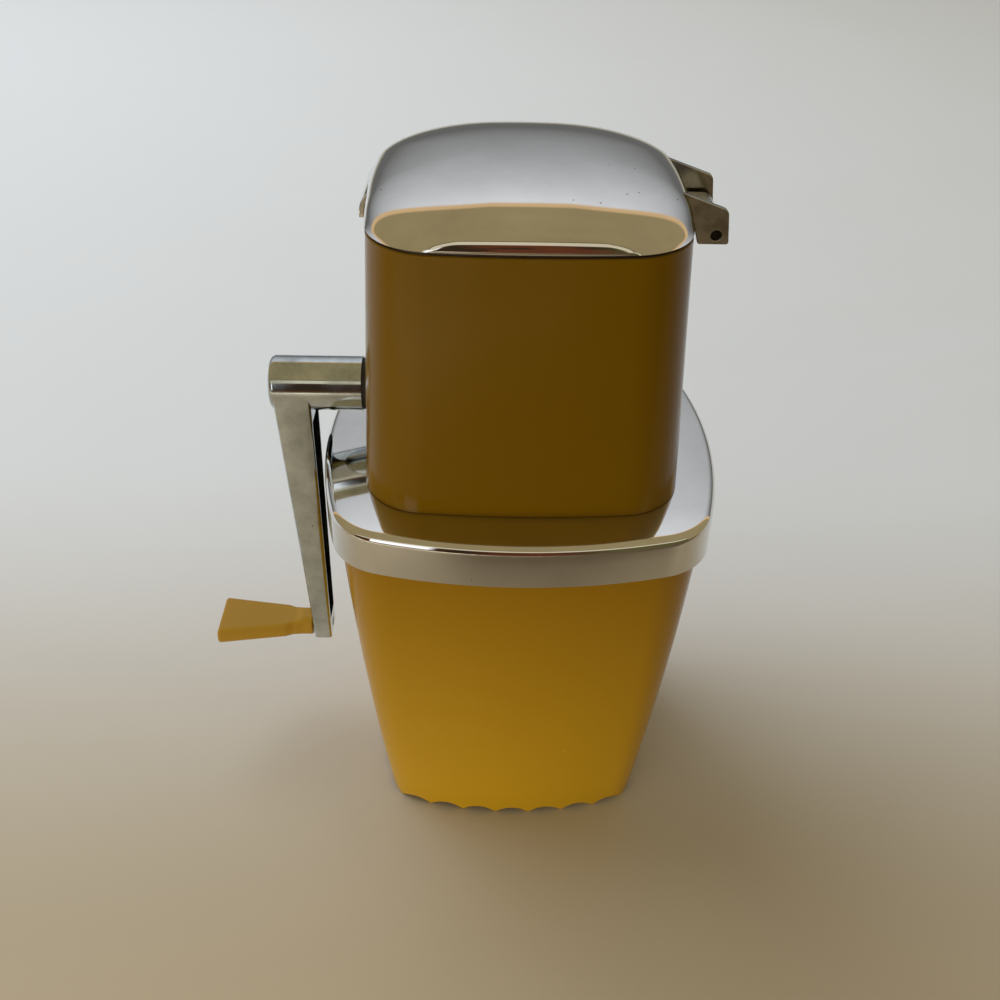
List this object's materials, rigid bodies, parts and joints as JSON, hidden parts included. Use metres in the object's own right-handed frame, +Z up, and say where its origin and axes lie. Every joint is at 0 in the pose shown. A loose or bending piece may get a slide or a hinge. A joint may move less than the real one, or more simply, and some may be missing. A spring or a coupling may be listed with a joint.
{
  "type": "hand crank ice crusher",
  "caption": "Hand crank ice crusher: chromed dome lid, tapered housing and collar on a gold cup with a scalloped foot, side crank with flared grip turning breaker fingers.",
  "frame": {"origin": "centre of the plane that the cup's foot stands on", "axes": "+Z up, -X towards the crank, +X towards the lid's hinge, +Y across"},
  "size_m": [0.1792, 0.1326, 0.2383],
  "materials": {
    "gold_plastic": "glossy moulded plastic",
    "gold_plastic_dark": "glossy moulded plastic, a shade darker",
    "gold_plastic_grip": "glossy moulded plastic, handled",
    "chrome": "polished plating with fine haze and scratches",
    "hopper_aluminium": "spun satin",
    "cast_aluminium": "as cast",
    "plated_steel": "zinc plated",
    "bush_brass": "oiled sintered bronze",
    "washer_rubber": "dark fibre"
  },
  "bodies": {
    "cup": {"cup": "gold_plastic"},
    "head": {"collar": "chrome", "housing": "gold_plastic_dark", "hopper": "hopper_aluminium", "crusher_frame": "cast_aluminium", "comb_coarse": "cast_aluminium", "comb_fine": "cast_aluminium", "front_bush": "bush_brass", "rear_bush": "bush_brass", "frame_screws": "plated_steel", "hopper_screws": "plated_steel", "comb_screws": "plated_steel", "hinge_bracket": "plated_steel", "hinge_rivets": "plated_steel"},
    "lid": {"lid": "chrome", "hinge_pin": "plated_steel"},
    "crank": {"crank": "chrome", "drive_shaft": "plated_steel", "crank_screw": "plated_steel", "thrust_washer": "washer_rubber", "breaker_spacers": "plated_steel", "retaining_clip": "plated_steel", "grip_pin": "plated_steel", "breaker_1": "plated_steel", "breaker_2": "plated_steel", "breaker_3": "plated_steel", "breaker_4": "plated_steel", "breaker_5": "plated_steel"},
    "grip": {"grip": "gold_plastic_grip"}
  },
  "joints": [
    {"name": "head_lift", "type": "slide", "parent": "cup", "child": "head", "axis": [0, 0, 1], "range_m": [0, 0.06]},
    {"name": "lid_hinge", "type": "hinge", "parent": "head", "child": "lid", "pos_m": [0.0559, 0, 0.2167], "axis": [0, 1, 0], "range_deg": [0, 105]},
    {"name": "crank_turn", "type": "hinge", "parent": "head", "child": "crank", "pos_m": [-0.06, 0, 0.1562], "axis": [1, 0, 0], "continuous": true},
    {"name": "grip_spin", "type": "hinge", "parent": "crank", "child": "grip", "pos_m": [-0.09, 0, 0.0504], "axis": [1, 0, 0], "continuous": true}
  ]
}
